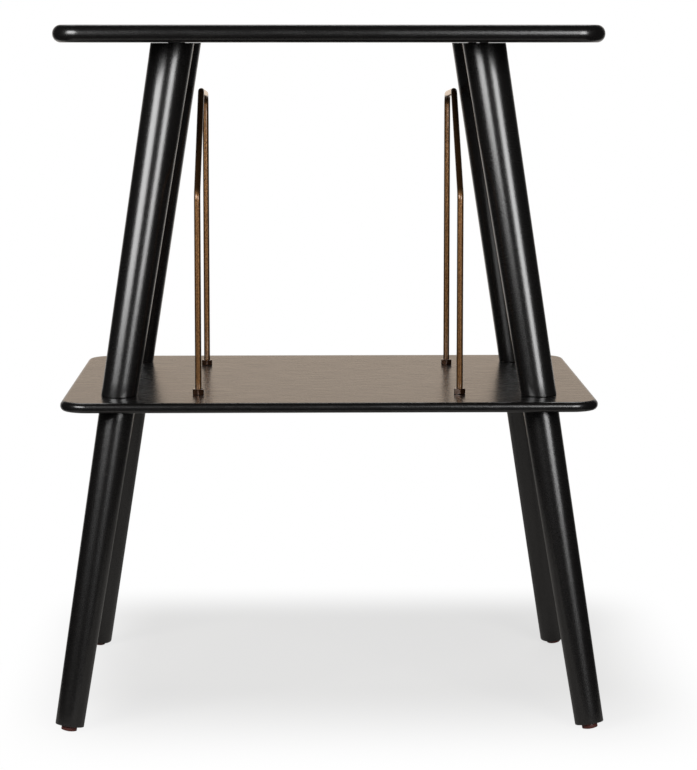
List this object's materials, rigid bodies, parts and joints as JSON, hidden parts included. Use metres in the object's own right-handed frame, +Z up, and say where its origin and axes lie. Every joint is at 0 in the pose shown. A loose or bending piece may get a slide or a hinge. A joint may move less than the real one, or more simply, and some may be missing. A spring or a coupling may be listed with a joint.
{
  "type": "record storage stand",
  "caption": "Low stand with a top board, a shelf between splayed tapered legs and bent wire dividers that hold record sleeves upright.",
  "frame": {"origin": "on the floor, under the middle of the stand", "axes": "+X to the right across the width, +Y to the back, +Z up; the front faces -Y"},
  "size_m": [0.4908, 0.36, 0.6284],
  "materials": {
    "black_wood": "black satin lacquer, faint grain",
    "aged_brass": "antique brass plate, satin",
    "brown_plastic": "moulded, satin",
    "zinc_steel": "zinc plated"
  },
  "bodies": {
    "root": {"top_board": "black_wood", "shelf": "black_wood", "upper_leg_front_left": "black_wood", "lower_leg_front_left": "black_wood", "foot_glide_front_left": "brown_plastic", "glide_nail_front_left": "zinc_steel", "top_stud_front_left": "zinc_steel", "top_insert_front_left": "zinc_steel", "shelf_stud_front_left": "zinc_steel", "leg_insert_front_left": "zinc_steel", "upper_leg_front_right": "black_wood", "lower_leg_front_right": "black_wood", "foot_glide_front_right": "brown_plastic", "glide_nail_front_right": "zinc_steel", "top_stud_front_right": "zinc_steel", "top_insert_front_right": "zinc_steel", "shelf_stud_front_right": "zinc_steel", "leg_insert_front_right": "zinc_steel", "upper_leg_back_left": "black_wood", "lower_leg_back_left": "black_wood", "foot_glide_back_left": "brown_plastic", "glide_nail_back_left": "zinc_steel", "top_stud_back_left": "zinc_steel", "top_insert_back_left": "zinc_steel", "shelf_stud_back_left": "zinc_steel", "leg_insert_back_left": "zinc_steel", "upper_leg_back_right": "black_wood", "lower_leg_back_right": "black_wood", "foot_glide_back_right": "brown_plastic", "glide_nail_back_right": "zinc_steel", "top_stud_back_right": "zinc_steel", "top_insert_back_right": "zinc_steel", "shelf_stud_back_right": "zinc_steel", "leg_insert_back_right": "zinc_steel", "wire_divider_left": "aged_brass", "wire_divider_right": "aged_brass", "divider_nut_left_front": "aged_brass", "divider_washer_left_front": "aged_brass", "divider_under_nut_left_front": "aged_brass", "divider_nut_left_back": "aged_brass", "divider_washer_left_back": "aged_brass", "divider_under_nut_left_back": "aged_brass", "divider_nut_right_front": "aged_brass", "divider_washer_right_front": "aged_brass", "divider_under_nut_right_front": "aged_brass", "divider_nut_right_back": "aged_brass", "divider_washer_right_back": "aged_brass", "divider_under_nut_right_back": "aged_brass"}
  },
  "joints": []
}
